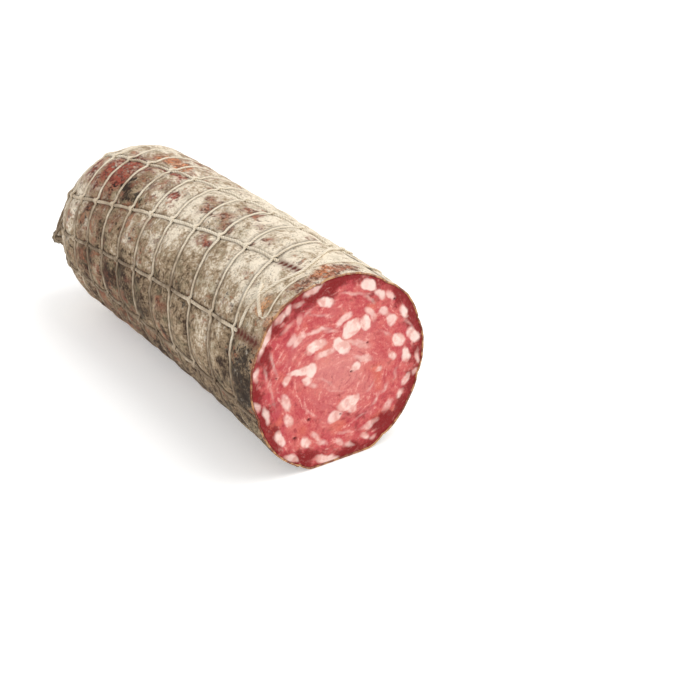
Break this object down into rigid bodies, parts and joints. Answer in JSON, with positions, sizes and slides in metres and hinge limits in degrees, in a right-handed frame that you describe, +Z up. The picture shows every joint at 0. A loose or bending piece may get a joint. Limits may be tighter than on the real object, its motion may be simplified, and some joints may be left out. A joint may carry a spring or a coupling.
{
  "type": "cured sausage",
  "caption": "Thick cured sausage log in a mould-covered casing and a twine net, cut across at one end to show marbled meat and fat.",
  "frame": {"origin": "middle of the underside of the bounding box, on the table", "axes": "+X along the log and out of its cut face, +Y to the back, +Z up"},
  "size_m": [0.2104, 0.0904, 0.0908],
  "materials": {
    "filling": "moist cut meat, red lean with pale pink fat",
    "casing": "dry matt natural casing with a grey-white mould bloom",
    "twine": "matt cotton twine, cream"
  },
  "bodies": {
    "root": {"filling": "filling", "casing": "casing", "hoop_1": "twine", "hoop_2": "twine", "hoop_3": "twine", "hoop_4": "twine", "hoop_5": "twine", "hoop_6": "twine", "hoop_7": "twine", "hoop_8": "twine", "hoop_9": "twine", "hoop_10": "twine", "hoop_11": "twine", "hoop_12": "twine", "strand_a": "twine", "strand_b": "twine", "strand_c": "twine", "strand_d": "twine", "strand_e": "twine", "strand_f": "twine", "strand_g": "twine", "strand_h": "twine", "pulled_twine": "twine", "second_twine": "twine", "twine_tail": "twine", "end_tie": "twine"}
  },
  "joints": []
}
